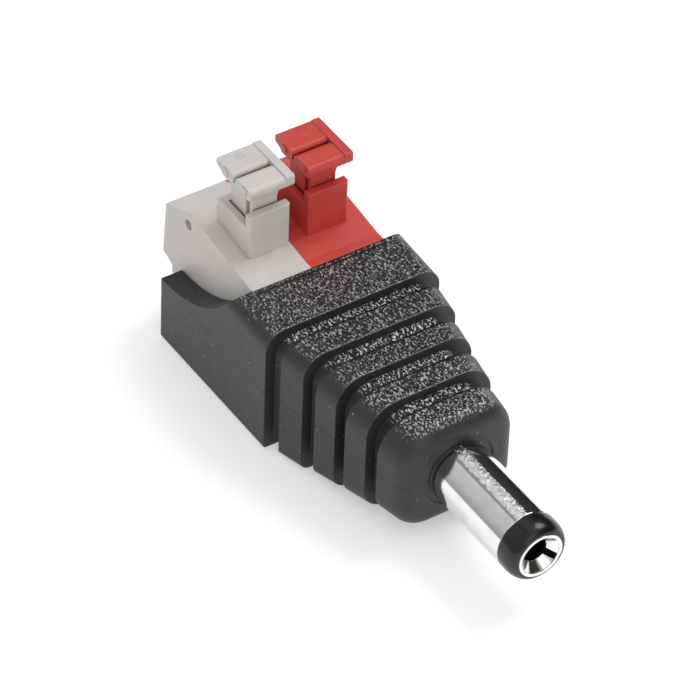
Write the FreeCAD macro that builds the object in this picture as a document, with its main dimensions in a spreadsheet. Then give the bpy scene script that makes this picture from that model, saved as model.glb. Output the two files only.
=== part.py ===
import FreeCAD, Part
import math
import os
import re
import Sketcher

# A barrel plug with two push-button wire terminals.
# Frame: +X runs along the barrel towards its tip, +Y from the negative to the positive
# terminal, +Z up. The origin is on the barrel's axis in the plane of the front shoulder,
# which is also the height where the two housing halves meet. Lengths are millimetres.

SIZES = [
    # Barrel and its contacts
    ("barrel_radius", 2.75, "outside radius of the plated sleeve and the nose ring"),
    ("barrel_length", 8.8, "bright sleeve in front of the shoulder"),
    ("sleeve_wall", 0.5, "wall of the sleeve"),
    ("neck_radius", 2.45, "thinner stretch of the sleeve inside the housing"),
    ("neck_length", 3.0, "sleeve behind its flange, inside the housing"),
    ("flange_radius", 3.5, "flange that the halves grip"),
    ("flange_length", 1.0, "flange thickness"),
    ("flange_setback", 1.2, "shoulder to the flange"),
    ("nose_ring_length", 2.55, "black ring in front of the sleeve"),
    ("nose_ring_round", 0.68, "rounded front edge of the ring"),
    ("contact_bore", 1.05, "radius of the centre contact's bore"),
    ("contact_wall", 0.4, "wall of the centre contact"),
    ("mouth_radius", 2.02, "outside radius of the bright mouth ring"),
    ("mouth_depth", 1.0, "length of the mouth ring"),
    ("mouth_funnel", 0.8, "depth of the funnel"),
    ("mouth_rim", 0.17, "flat rim round the funnel"),
    ("mouth_stand", 0.05, "mouth ring proud of the nose ring"),
    ("slit_width", 0.6, "spring slits of the centre contact"),
    ("slit_length", 7.0, "length of the slits from the mouth"),
    ("slit_angle", 30, "turn of the slits about the axis, in degrees"),
    ("contact_blind", 3.0, "bore behind the shoulder"),
    ("tail_radius", 1.2, "solid tail of the centre contact"),
    ("tail_reach", 1.4, "tail behind the sleeve's end"),
    ("part_gap", 0.02, "gap between parts that are pressed together"),
    # Solder lugs and links
    ("washer_thickness", 0.7, "insulating washer at the sleeve's rear end"),
    ("lug_thickness", 0.4, "sheet of both lugs"),
    ("lug_rim", 0.7, "ring width of the sleeve's lug"),
    ("lug_ring_front", 3.5, "sleeve's lug behind the shoulder"),
    ("centre_lug_radius", 2.1, "ring of the centre lug"),
    ("tab_reach", 4.2, "tabs behind the centre lug's ring"),
    ("tab_height", 1.5, "height of the tabs"),
    ("link_radius", 0.35, "bare link wires"),
    ("link_bend", 2.5, "bend radius of the links"),
    ("link_level", 3.92, "links below the axis under the terminals"),
    ("link_rise_start", 3.4, "start of the rise in front of the pins"),
    ("link_rise_end", 2.0, "end of the rise behind the tabs"),
    ("solder_radius", 0.62, "solder round the pins and the tabs"),
    # Housing
    ("block_half_width", 8.35, "half width of the rear block"),
    ("block_half_height", 6.05, "half height of the rear block"),
    ("block_corner", 1.9, "upper long edges at the block's front"),
    ("block_rear_corner", 0.5, "upper long edges at the block's rear"),
    ("block_lower_corner", 0.3, "lower long edges of the block"),
    ("block_length", 15.85, "rear block"),
    ("first_rib_length", 2.55, "rib in front of the block"),
    ("second_rib_length", 2.2, "middle rib"),
    ("third_rib_length", 2.25, "rib behind the nose"),
    ("groove_width", 1.35, "grooves between the ribs"),
    ("nose_length", 3.15, "nose section"),
    ("first_rib_half_width", 7.3, "front edge of the first rib"),
    ("first_rib_half_height", 5.95, "front edge of the first rib"),
    ("first_rib_corner", 2.1, "upper corner of the first rib"),
    ("first_rib_lower_corner", 1.0, "lower corner of the first rib"),
    ("second_rib_half_width", 6.5, "front edge of the middle rib"),
    ("second_rib_half_height", 5.65, "front edge of the middle rib"),
    ("second_rib_corner", 2.5, "upper corner of the middle rib"),
    ("second_rib_lower_corner", 1.6, "lower corner of the middle rib"),
    ("third_rib_half_width", 5.95, "front edge of the third rib"),
    ("third_rib_half_height", 5.35, "front edge of the third rib"),
    ("third_rib_corner", 2.9, "upper corner of the third rib"),
    ("third_rib_lower_corner", 2.3, "lower corner of the third rib"),
    ("nose_half_width", 5.3, "front of the nose before its edge is rounded"),
    ("nose_half_height", 5.05, "front of the nose before its edge is rounded"),
    ("nose_corner", 3.4, "upper corner of the nose"),
    ("nose_lower_corner", 3.2, "lower corner of the nose"),
    ("nose_round", 1.5, "rounded front edge of the nose"),
    ("rib_taper_side", 0.45, "a rib's rear is this much wider on each side"),
    ("rib_rise", 0.1, "a rib's rear is this much lower"),
    ("rib_corner_drop", 0.6, "lower corners are this much sharper at a rib's rear"),
    ("groove_depth_side", 1.0, "groove depth on the sides"),
    ("groove_depth_top", 0.82, "groove depth on top and below"),
    ("wall", 1.2, "wall of the housing"),
    ("nose_wall", 3.2, "solid nose that holds the barrel"),
    ("recess_radius", 3.3, "shallow recess round the barrel"),
    ("recess_depth", 0.15, "depth of that recess"),
    ("bore_gap", 0.05, "gap between the housing and the barrel's neck and flange"),
    ("seat_gap", 0.05, "sleeve's shoulder in front of the recess floor"),
    ("scoop_radius", 12.2, "hollow beside each terminal block"),
    ("scoop_ledge", 0.4, "height of the hollow's lowest point"),
    ("lip_step_width", 0.6, "step along the rear edge of the top"),
    ("lip_step_depth", 0.12, "depth of that step"),
    ("lip_step_margin", 2.2, "end of the step from the housing's side"),
    ("support_height", 1.35, "cross ribs that carry the terminals"),
    ("support_thickness", 1.0, "thickness of those ribs"),
    ("link_notch", 1.4, "width of the gaps for the links"),
    # Terminal modules
    ("module_width", 5.6, "one terminal module"),
    ("end_plate_thickness", 1.4, "plate that closes the positive module"),
    ("module_gap", 0.05, "gap between the modules and the housing"),
    ("module_front", 20.8, "front of the modules behind the shoulder"),
    ("module_length", 13.65, "front to the rearmost edge"),
    ("roof_front_height", 6.0, "roof at the front"),
    ("roof_level_width", 0.85, "level strip at the roof's front"),
    ("ridge_height", 7.2, "ridge between the roof and the rear slope"),
    ("ridge_setback", 9.35, "ridge behind the front"),
    ("rear_top_height", 5.65, "top of the rear face"),
    ("rear_lean", 0.4, "rear face leans forward towards its top"),
    ("rear_bottom_height", 0.3, "foot of the rear face"),
    ("rear_chamfer_run", 1.45, "chamfer under the rear face, along the plug"),
    ("rear_chamfer_drop", 0.5, "chamfer under the rear face, downwards"),
    ("sill_depth", 1.0, "underside of the overhang below the axis"),
    ("module_depth", 3.4, "underside of the modules below the axis"),
    ("module_wall", 0.8, "closed side wall of a module"),
    ("module_floor", 0.7, "floor under the contact"),
    ("chamber_top", 5.0, "ceiling of the chamber"),
    ("chamber_front", 1.75, "front wall of the chamber"),
    ("chamber_length", 8.2, "chamber along the plug"),
    ("chamber_low_length", 6.8, "lower part of the chamber"),
    ("entry_radius", 1.1, "wire entry"),
    ("entry_height", 2.9, "wire entry above the axis"),
    ("entry_funnel_radius", 1.75, "mouth of the wire entry"),
    ("entry_funnel_depth", 0.8, "depth of the mouth's funnel"),
    ("peg_radius", 0.42, "peg that keys a module to its neighbour"),
    ("peg_length", 0.5, "length of the peg"),
    ("peg_gap", 0.08, "gap round the peg"),
    ("peg_setback", 9.8, "peg behind the front"),
    ("peg_height", 5.83, "peg above the axis"),
    # Towers and push buttons
    ("tower_front", 3.05, "tower behind the module's front"),
    ("tower_length", 4.95, "tower along the plug"),
    ("tower_offset", 1.65, "tower from the module's closed side"),
    ("tower_width", 3.8, "tower across the plug"),
    ("tower_height", 9.3, "side walls of the tower"),
    ("tab_top_height", 10.65, "front wall of the tower"),
    ("front_wall", 0.73, "front wall of the tower"),
    ("tower_rear_wall", 0.7, "rear wall of the tower"),
    ("tower_side_wall", 0.6, "side walls of the tower"),
    ("tower_round", 0.2, "vertical edges of the tower"),
    ("button_gap", 0.15, "running gap round a button's stem"),
    ("button_travel", 1.2, "stroke of a button"),
    ("head_offset", 1.6, "head from the module's closed side"),
    ("head_width", 4.2, "head across the plug"),
    ("head_length", 5.15, "head along the plug"),
    ("head_overhang", 0.86, "head in front of the stem's front face"),
    ("head_top", 13.5, "top of the head"),
    ("rim_width", 0.75, "raised rim along one side of the head"),
    ("rim_thickness", 1.12, "height of the rim at its front"),
    ("rim_rise", 0.08, "rim above the rear pad"),
    ("rear_pad_length", 2.55, "rear pad of the head"),
    ("pad_thickness", 1.1, "thickness of both pads"),
    ("rear_edge_thickness", 0.55, "thickness of the head's rear edge"),
    ("rear_slope_length", 1.35, "underside's slope up to the rear edge"),
    ("pad_round", 0.4, "rounded front of both pads"),
    ("front_pad_drop", 0.04, "front pad below the rear pad"),
    ("notch_bevel", 0.22, "bevel of the front pad along the notch"),
    ("notch_width", 0.3, "notch between the pads"),
    ("notch_depth", 0.8, "notch below the rear pad"),
    ("boss_radius", 0.4, "round bosses at the ends of both pads"),
    ("boss_height", 0.1, "bosses proud of the head's side"),
    ("stem_flare", 0.4, "the stem widens on each side below the head"),
    ("flare_height", 1.3, "height of that widening"),
    ("stem_groove_width", 0.55, "groove down the stem's side"),
    ("stem_groove_depth", 0.4, "depth of that groove"),
    ("stem_groove_setback", 0.45, "groove behind the stem's front face"),
    ("hook_reach", 0.55, "hook that keeps the button in"),
    ("hook_thickness", 0.9, "height of the hook"),
    ("hook_gap", 0.05, "hook below the chamber's ceiling"),
    ("stem_bottom", 1.65, "lower end of the stem above the axis"),
    ("stem_root", 0.2, "stem's upper end inside the head"),
    # Clamp contacts and springs
    ("strip_thickness", 0.5, "sheet of the contact"),
    ("strip_width", 2.4, "width of the contact"),
    ("strip_offset", 2.4, "contact from the module's closed side"),
    ("contact_length", 5.8, "floor bar of the contact"),
    ("contact_setback", 2.5, "floor bar behind the module's front"),
    ("upright_top", 4.5, "top of the contact's upright"),
    ("window_low", 1.8, "lower edge of the wire window"),
    ("window_high", 4.0, "upper edge of the wire window"),
    ("window_width", 1.8, "width of the wire window"),
    ("pin_size", 0.6, "square pin under the contact"),
    ("pin_offset", 2.8, "pin from the module's closed side"),
    ("pin_setback", 3.2, "pin behind the module's front"),
    ("pin_depth", 4.35, "lower end of the pin below the axis"),
    ("spring_thickness", 0.25, "leaf of the clamp spring"),
    ("spring_width", 2.0, "width of the clamp spring"),
    ("spring_bend", 0.8, "bend of the clamp spring"),
    ("spring_gap", 0.6, "spring in front of the upright"),
    ("spring_tip_height", 1.35, "tip of the upper leg above the axis"),
]
VALUE = {name: value for name, value, _ in SIZES}

doc = FreeCAD.newDocument("barrel_plug")
sheet = doc.addObject("Spreadsheet::Sheet", "Size")
for row, (name, value, note) in enumerate(SIZES, start=1):
    sheet.set("A%d" % row, note)
    sheet.set("B%d" % row, str(value))
    sheet.setAlias("B%d" % row, name)
doc.recompute()

PARTS = []


def link(text):
    """Turns plain size names in a formula into references to the sheet."""
    return re.sub(r"[a-z_]+", lambda m: "Size." + m.group() if m.group() in VALUE else m.group(), text)


def number(text):
    """The formula's present value."""
    return float(sheet.evalExpression(link(text)))


def new_body(label):
    body = doc.addObject("PartDesign::Body", label)
    body.Label = label
    PARTS.append(body)
    return body


def new_sketch(body, name, plane, offset="0"):
    """An empty sketch on one of the body's own planes, moved along the plane's normal."""
    sketch = body.newObject("Sketcher::SketchObject", name)
    support = [f for f in body.Origin.OriginFeatures if f.Role == plane][0]
    sketch.AttachmentSupport = [(support, "")]
    sketch.MapMode = "FlatFace"
    sketch.setExpression("AttachmentOffset.Base.z", link(offset))
    return sketch


def pin_point(sketch, geometry, point, x, y):
    """Ties one point of the sketch to a pair of formulas."""
    for kind, text in (("DistanceX", x), ("DistanceY", y)):
        index = sketch.addConstraint(Sketcher.Constraint(kind, -1, 1, geometry, point, number(text)))
        sketch.setExpression("Constraints[%d]" % index, link(text))


def outline(sketch, corners):
    """A closed outline. Each corner is (x, y) and may add the radius of an arc to the next
    corner: a plus sign in front of the radius turns left, a minus sign turns right."""
    first = sketch.GeometryCount
    count = len(corners)
    places = [FreeCAD.Vector(number(c[0]), number(c[1]), 0) for c in corners]
    starts = []
    ends = []
    for k, corner in enumerate(corners):
        here, there = places[k], places[(k + 1) % count]
        if len(corner) == 2:
            sketch.addGeometry(Part.LineSegment(here, there), False)
            starts.append(1)
            ends.append(2)
            continue
        left = not corner[2].startswith("-")
        radius = number(corner[2].lstrip("+-"))
        chord = there - here
        reach = math.sqrt(max(radius ** 2 - (chord.Length / 2) ** 2, 0))
        side = FreeCAD.Vector(-chord.y, chord.x, 0).normalize() * (reach if left else -reach)
        centre = (here + there) / 2 + side
        a, b = (here, there) if left else (there, here)
        angle_a = math.atan2(a.y - centre.y, a.x - centre.x)
        angle_b = math.atan2(b.y - centre.y, b.x - centre.x)
        if angle_b < angle_a:
            angle_b += 2 * math.pi
        circle = Part.Circle(centre, FreeCAD.Vector(0, 0, 1), radius)
        sketch.addGeometry(Part.ArcOfCircle(circle, angle_a, angle_b), False)
        starts.append(1 if left else 2)
        ends.append(2 if left else 1)
    for k in range(count):
        after = (k + 1) % count
        sketch.addConstraint(Sketcher.Constraint("Coincident", first + k, ends[k],
                                                 first + after, starts[after]))
    for k, corner in enumerate(corners):
        pin_point(sketch, first + k, starts[k], corner[0], corner[1])
        if len(corner) == 3:
            text = corner[2].lstrip("+-")
            index = sketch.addConstraint(Sketcher.Constraint("Radius", first + k, number(text)))
            sketch.setExpression("Constraints[%d]" % index, link(text))


def box_outline(sketch, x_low, x_high, y_low, y_high):
    outline(sketch, [(x_low, y_low), (x_high, y_low), (x_high, y_high), (x_low, y_high)])


def round_outline(sketch, x, y, radius):
    circle = Part.Circle(FreeCAD.Vector(number(x), number(y), 0), FreeCAD.Vector(0, 0, 1), number(radius))
    geometry = sketch.addGeometry(circle, False)
    pin_point(sketch, geometry, 3, x, y)
    index = sketch.addConstraint(Sketcher.Constraint("Radius", geometry, number(radius)))
    sketch.setExpression("Constraints[%d]" % index, link(radius))


def extrude(body, kind, sketch, length, reverse=False):
    """A Pad or a Pocket of the sketch."""
    feature = body.newObject("PartDesign::" + kind, sketch.Name + "_" + kind.lower())
    feature.Profile = sketch
    feature.Reversed = reverse
    feature.setExpression("Length", link(length))
    return feature


def revolve(body, kind, sketch, axis="H_Axis"):
    """A Revolution or a Groove of the sketch, all the way round."""
    feature = body.newObject("PartDesign::" + kind, sketch.Name + "_" + kind.lower())
    feature.Profile = sketch
    feature.ReferenceAxis = (sketch, [axis])
    feature.Angle = 360
    return feature


def loft(body, kind, sketches):
    """An AdditiveLoft or a SubtractiveLoft with straight sides between the sketches."""
    feature = body.newObject("PartDesign::" + kind, sketches[0].Name + "_loft")
    feature.Profile = sketches[0]
    feature.Sections = sketches[1:]
    feature.Ruled = True
    return feature


# Places along the plug, all of them at or behind the shoulder

NOSE_REAR = "-nose_length"
THIRD_FRONT = NOSE_REAR + " - groove_width"
THIRD_REAR = THIRD_FRONT + " - third_rib_length"
SECOND_FRONT = THIRD_REAR + " - groove_width"
SECOND_REAR = SECOND_FRONT + " - second_rib_length"
FIRST_FRONT = SECOND_REAR + " - groove_width"
FIRST_REAR = FIRST_FRONT + " - first_rib_length"
BLOCK_FRONT = FIRST_REAR + " - groove_width"
BLOCK_REAR = BLOCK_FRONT + " - block_length"
MODULE_FRONT = "-module_front"
LIP = "-module_front + module_gap"
BAY_HALF_WIDTH = "(2 * module_width + end_plate_thickness) / 2 + module_gap"
NEGATIVE_SIDE = "-(2 * module_width + end_plate_thickness) / 2"
POSITIVE_SIDE = NEGATIVE_SIDE + " + module_width"
FLOOR = "block_half_height - wall"
BEYOND = "2"


# Housing halves

def half_section(body, name, station, half_width, half_height, corner, up):
    """Half of a rounded rectangle across the plug, above or below the axis."""
    sketch = new_sketch(body, name, "YZ_Plane", station)
    sign, turn = ("", "-") if up else ("-", "+")
    straight = sign + "(%s - (%s))" % (half_height, corner)
    edge = sign + "(%s)" % half_height
    inner = "(%s - (%s))" % (half_width, corner)
    outline(sketch, [
        ("-(%s)" % half_width, "0"),
        ("-(%s)" % half_width, straight, turn + "(%s)" % corner),
        ("-" + inner, edge),
        (inner, edge, turn + "(%s)" % corner),
        (half_width, straight),
        (half_width, "0"),
    ])
    return sketch


def corner_of(name, up):
    return name + ("_corner" if up else "_lower_corner")


def rib(body, name, rear, front, up):
    """A rib is a little wider and lower at its rear, and its lower corners are sharper there."""
    width, height, corner = name + "_half_width", name + "_half_height", corner_of(name, up)
    rear_corner = corner if up else corner + " - rib_corner_drop"
    return loft(body, "AdditiveLoft", [
        half_section(body, name + "_rear", rear, width + " + rib_taper_side", height + " - rib_rise",
                     rear_corner, up),
        half_section(body, name + "_front", front, width, height, corner, up),
    ])


def housing_half(label, up):
    body = new_body(label)
    loft(body, "AdditiveLoft", [
        half_section(body, "block_rear", BLOCK_REAR, "block_half_width", "block_half_height",
                     "block_rear_corner" if up else "block_lower_corner", up),
        half_section(body, "block_front", BLOCK_FRONT, "block_half_width", "block_half_height",
                     corner_of("block", up), up),
    ])
    stations = [("block", BLOCK_FRONT), ("first_rib", FIRST_FRONT), ("second_rib", SECOND_FRONT),
                ("third_rib", THIRD_FRONT)]
    core = [half_section(body, name + "_core", station, name + "_half_width - groove_depth_side",
                         name + "_half_height - groove_depth_top", corner_of(name, up), up)
            for name, station in stations]
    core.append(half_section(body, "nose_core", NOSE_REAR + " + wall",
                             "third_rib_half_width - groove_depth_side",
                             "third_rib_half_height - groove_depth_top", corner_of("third_rib", up), up))
    loft(body, "AdditiveLoft", core)
    rib(body, "first_rib", FIRST_REAR, FIRST_FRONT, up)
    rib(body, "second_rib", SECOND_REAR, SECOND_FRONT, up)
    rib(body, "third_rib", THIRD_REAR, THIRD_FRONT, up)
    rib(body, "nose", NOSE_REAR, "0", up)
    doc.recompute()
    unrounded = body.Tip
    front_edges = ["Edge%d" % (k + 1) for k, edge in enumerate(unrounded.Shape.Edges)
                   if all(abs(v.X) < 1e-6 for v in edge.Vertexes)
                   and max(abs(v.Z) for v in edge.Vertexes) > 1e-6]
    rounding = body.newObject("PartDesign::Fillet", "nose_rounding")
    rounding.Base = (unrounded, front_edges)
    rounding.setExpression("Radius", link("nose_round"))

    # Inside of the ribbed front
    loft(body, "SubtractiveLoft", [
        half_section(body, "inside_rear", LIP, BAY_HALF_WIDTH, FLOOR, "wall", up),
        half_section(body, "inside_middle", BLOCK_FRONT, "block_half_width - groove_depth_side - wall",
                     "block_half_height - groove_depth_top - wall", "wall", up),
        half_section(body, "inside_front", "-nose_wall", "third_rib_half_width - groove_depth_side - wall",
                     "third_rib_half_height - groove_depth_top - wall", "wall", up),
    ])

    # Seat of the barrel, its flange and its neck
    seat = new_sketch(body, "barrel_seat", "XZ_Plane")
    outline(seat, [
        (BEYOND, "0"),
        (BEYOND, "recess_radius"),
        ("-recess_depth", "recess_radius"),
        ("-recess_depth", "neck_radius + bore_gap"),
        ("-flange_setback + bore_gap", "neck_radius + bore_gap"),
        ("-flange_setback + bore_gap", "flange_radius + bore_gap"),
        ("-flange_setback - flange_length - bore_gap", "flange_radius + bore_gap"),
        ("-flange_setback - flange_length - bore_gap", "neck_radius + bore_gap"),
        ("-nose_wall - " + BEYOND, "neck_radius + bore_gap"),
        ("-nose_wall - " + BEYOND, "0"),
    ])
    revolve(body, "Groove", seat)
    return body


def lower_shell():
    body = housing_half("lower_shell", False)
    bay = new_sketch(body, "bay", "XY_Plane")
    box_outline(bay, BLOCK_REAR + " + wall", LIP, "-(%s)" % BAY_HALF_WIDTH, BAY_HALF_WIDTH)
    extrude(body, "Pocket", bay, FLOOR)
    sill = new_sketch(body, "sill", "XY_Plane")
    box_outline(sill, BLOCK_REAR + " - " + BEYOND, BLOCK_REAR + " + 2 * wall",
                "-(%s)" % BAY_HALF_WIDTH, BAY_HALF_WIDTH)
    extrude(body, "Pocket", sill, "sill_depth + module_gap")

    rear_rib = new_sketch(body, "rear_support", "XY_Plane", "-(%s)" % FLOOR)
    box_outline(rear_rib, BLOCK_REAR + " + 3 * wall - support_thickness", BLOCK_REAR + " + 3 * wall",
                "-(%s)" % BAY_HALF_WIDTH, BAY_HALF_WIDTH)
    extrude(body, "Pad", rear_rib, "support_height")
    front_rib = new_sketch(body, "front_support", "XY_Plane", "-(%s)" % FLOOR)
    negative_link = NEGATIVE_SIDE + " + pin_offset"
    positive_link = POSITIVE_SIDE + " + pin_offset"
    walls = [
        ("-(%s)" % BAY_HALF_WIDTH, negative_link + " - link_notch / 2"),
        (negative_link + " + link_notch / 2", positive_link + " - link_notch / 2"),
        (positive_link + " + link_notch / 2", BAY_HALF_WIDTH),
    ]
    for y_low, y_high in walls:
        box_outline(front_rib, MODULE_FRONT + " - 2 * support_thickness",
                    MODULE_FRONT + " - support_thickness", y_low, y_high)
    extrude(body, "Pad", front_rib, "support_height")


def upper_shell():
    body = housing_half("upper_shell", True)
    bay = new_sketch(body, "bay", "XY_Plane")
    box_outline(bay, BLOCK_REAR + " - " + BEYOND, LIP, "-(%s)" % BAY_HALF_WIDTH, BAY_HALF_WIDTH)
    extrude(body, "Pocket", bay, "block_half_height + " + BEYOND, reverse=True)
    scoop = new_sketch(body, "scoop", "XZ_Plane", "block_half_width + " + BEYOND)
    outline(scoop, [
        (BLOCK_REAR + " - " + BEYOND, "scoop_ledge"),
        (BLOCK_REAR, "scoop_ledge", "+scoop_radius"),
        (LIP, "block_half_height"),
        (LIP, "block_half_height + " + BEYOND),
        (BLOCK_REAR + " - " + BEYOND, "block_half_height + " + BEYOND),
    ])
    extrude(body, "Pocket", scoop, "2 * block_half_width + 2 * " + BEYOND)
    step = new_sketch(body, "lip_step", "XY_Plane", "block_half_height - lip_step_depth")
    box_outline(step, LIP + " - " + BEYOND, LIP + " + lip_step_width",
                "-block_half_width + lip_step_margin", "block_half_width - lip_step_margin")
    extrude(body, "Pocket", step, "lip_step_depth + " + BEYOND, reverse=True)


# Barrel

SLEEVE_SHOULDER = "-recess_depth + seat_gap"
SLEEVE_REAR = "-flange_setback - flange_length - neck_length"
TIP = "barrel_length + nose_ring_length"
SLEEVE_BORE = "barrel_radius - sleeve_wall"
CONTACT_OUTSIDE = "contact_bore + contact_wall"


def barrel_sleeve():
    body = new_body("barrel_sleeve")
    section = new_sketch(body, "sleeve_section", "XZ_Plane")
    outline(section, [
        ("barrel_length", SLEEVE_BORE),
        ("barrel_length", "barrel_radius"),
        (SLEEVE_SHOULDER, "barrel_radius"),
        (SLEEVE_SHOULDER, "neck_radius"),
        ("-flange_setback", "neck_radius"),
        ("-flange_setback", "flange_radius"),
        ("-flange_setback - flange_length", "flange_radius"),
        ("-flange_setback - flange_length", "neck_radius"),
        (SLEEVE_REAR, "neck_radius"),
        (SLEEVE_REAR, SLEEVE_BORE),
    ])
    revolve(body, "Revolution", section)


def nose_insulator():
    """Black ring at the tip with the tube that lines the sleeve behind it."""
    body = new_body("nose_insulator")
    section = new_sketch(body, "insulator_section", "XZ_Plane")
    ring_rear = "barrel_length + part_gap"
    lining = SLEEVE_BORE + " - part_gap"
    bore = CONTACT_OUTSIDE + " + part_gap"
    pocket = "mouth_radius + part_gap"
    pocket_floor = TIP + " + mouth_stand - mouth_depth - part_gap"
    outline(section, [
        (pocket_floor, bore),
        (pocket_floor, pocket),
        (TIP, pocket),
        (TIP, "barrel_radius - nose_ring_round", "+nose_ring_round"),
        (TIP + " - nose_ring_round", "barrel_radius"),
        (ring_rear, "barrel_radius"),
        (ring_rear, lining),
        (SLEEVE_REAR, lining),
        (SLEEVE_REAR, bore),
    ])
    revolve(body, "Revolution", section)


def centre_contact():
    """Sprung tube with a bright funnel mouth and a solid tail."""
    body = new_body("centre_contact")
    section = new_sketch(body, "contact_section", "XZ_Plane")
    mouth = TIP + " + mouth_stand"
    outline(section, [
        ("-contact_blind", "0"),
        ("-contact_blind", "contact_bore"),
        (mouth + " - mouth_funnel", "contact_bore"),
        (mouth, "mouth_radius - mouth_rim"),
        (mouth, "mouth_radius"),
        (mouth + " - mouth_depth", "mouth_radius"),
        (mouth + " - mouth_depth", CONTACT_OUTSIDE),
        (SLEEVE_REAR, CONTACT_OUTSIDE),
        (SLEEVE_REAR, "tail_radius"),
        (SLEEVE_REAR + " - tail_reach", "tail_radius"),
        (SLEEVE_REAR + " - tail_reach", "0"),
    ])
    revolve(body, "Revolution", section)
    slit = new_sketch(body, "slit", "XY_Plane", "-slit_width / 2")
    box_outline(slit, mouth + " - slit_length", mouth + " + " + BEYOND,
                "-mouth_radius - " + BEYOND, "mouth_radius + " + BEYOND)
    extrude(body, "Pocket", slit, "slit_width", reverse=True)
    turned = FreeCAD.Rotation(FreeCAD.Vector(-1, 0, 0), number("slit_angle"))
    body.Placement = FreeCAD.Placement(FreeCAD.Vector(), turned)
    body.setExpression("Placement.Rotation.Angle", link("slit_angle"))


WASHER_REAR = SLEEVE_REAR + " - washer_thickness"
CENTRE_LUG_REAR = WASHER_REAR + " - lug_thickness"


def rear_washer():
    body = new_body("rear_washer")
    section = new_sketch(body, "washer_section", "YZ_Plane", WASHER_REAR)
    round_outline(section, "0", "0", "neck_radius")
    round_outline(section, "0", "0", "tail_radius + part_gap")
    extrude(body, "Pad", section, "washer_thickness - part_gap")


def solder_lug(label, rear, hole, ring, tab_low, tab_high):
    """A flat ring with one tab bent back from its edge, set upright beside the wire."""
    body = new_body(label)
    flat = new_sketch(body, label + "_ring", "YZ_Plane", rear)
    round_outline(flat, "0", "0", ring)
    extrude(body, "Pad", flat, "lug_thickness - part_gap")
    tab = new_sketch(body, label + "_tab", "XY_Plane", "-tab_height / 2")
    box_outline(tab, CENTRE_LUG_REAR + " - tab_reach", rear + " + lug_thickness - part_gap",
                tab_low, tab_high)
    extrude(body, "Pad", tab, "tab_height")
    opening = new_sketch(body, label + "_hole", "YZ_Plane", rear + " - lug_thickness")
    round_outline(opening, "0", "0", hole)
    extrude(body, "Pocket", opening, "3 * lug_thickness", reverse=True)
    return body


# Terminal modules. Each is drawn with its closed side at y = 0 and then moved into its place.

def behind_front(setback):
    return MODULE_FRONT + " - (%s)" % setback


REAR_EDGE = behind_front("module_length")
UPPER_CHAMBER_REAR = behind_front("chamber_front + chamber_length")
LOWER_CHAMBER_REAR = behind_front("chamber_front + chamber_low_length")
CHAMBER_FRONT = behind_front("chamber_front")
CHAMBER_FLOOR = "-module_depth + module_floor"
UPPER_CHAMBER_FLOOR = "-sill_depth + module_floor"
TOWER_FRONT = behind_front("tower_front")
TOWER_REAR = behind_front("tower_front + tower_length")
STEM_FRONT = TOWER_FRONT + " - front_wall - button_gap"
STEM_REAR = TOWER_REAR + " + tower_rear_wall + button_gap"
STEM_LOW = "tower_offset + tower_side_wall + button_gap"
STEM_HIGH = "tower_offset + tower_width - tower_side_wall - button_gap"
MODULE_OUTLINE = [
    (REAR_EDGE, "rear_bottom_height"),
    (REAR_EDGE + " + rear_chamfer_run", "rear_bottom_height - rear_chamfer_drop"),
    (REAR_EDGE + " + rear_chamfer_run", "-sill_depth"),
    (BLOCK_REAR + " + wall + 2 * module_gap", "-sill_depth"),
    (BLOCK_REAR + " + wall + 2 * module_gap", "-module_depth"),
    (MODULE_FRONT, "-module_depth"),
    (MODULE_FRONT, "roof_front_height"),
    (behind_front("roof_level_width"), "roof_front_height"),
    (behind_front("ridge_setback"), "ridge_height"),
    (REAR_EDGE + " + rear_lean", "rear_top_height"),
]


def place_across(body, side):
    body.setExpression("Placement.Base.y", link(side))


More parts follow.
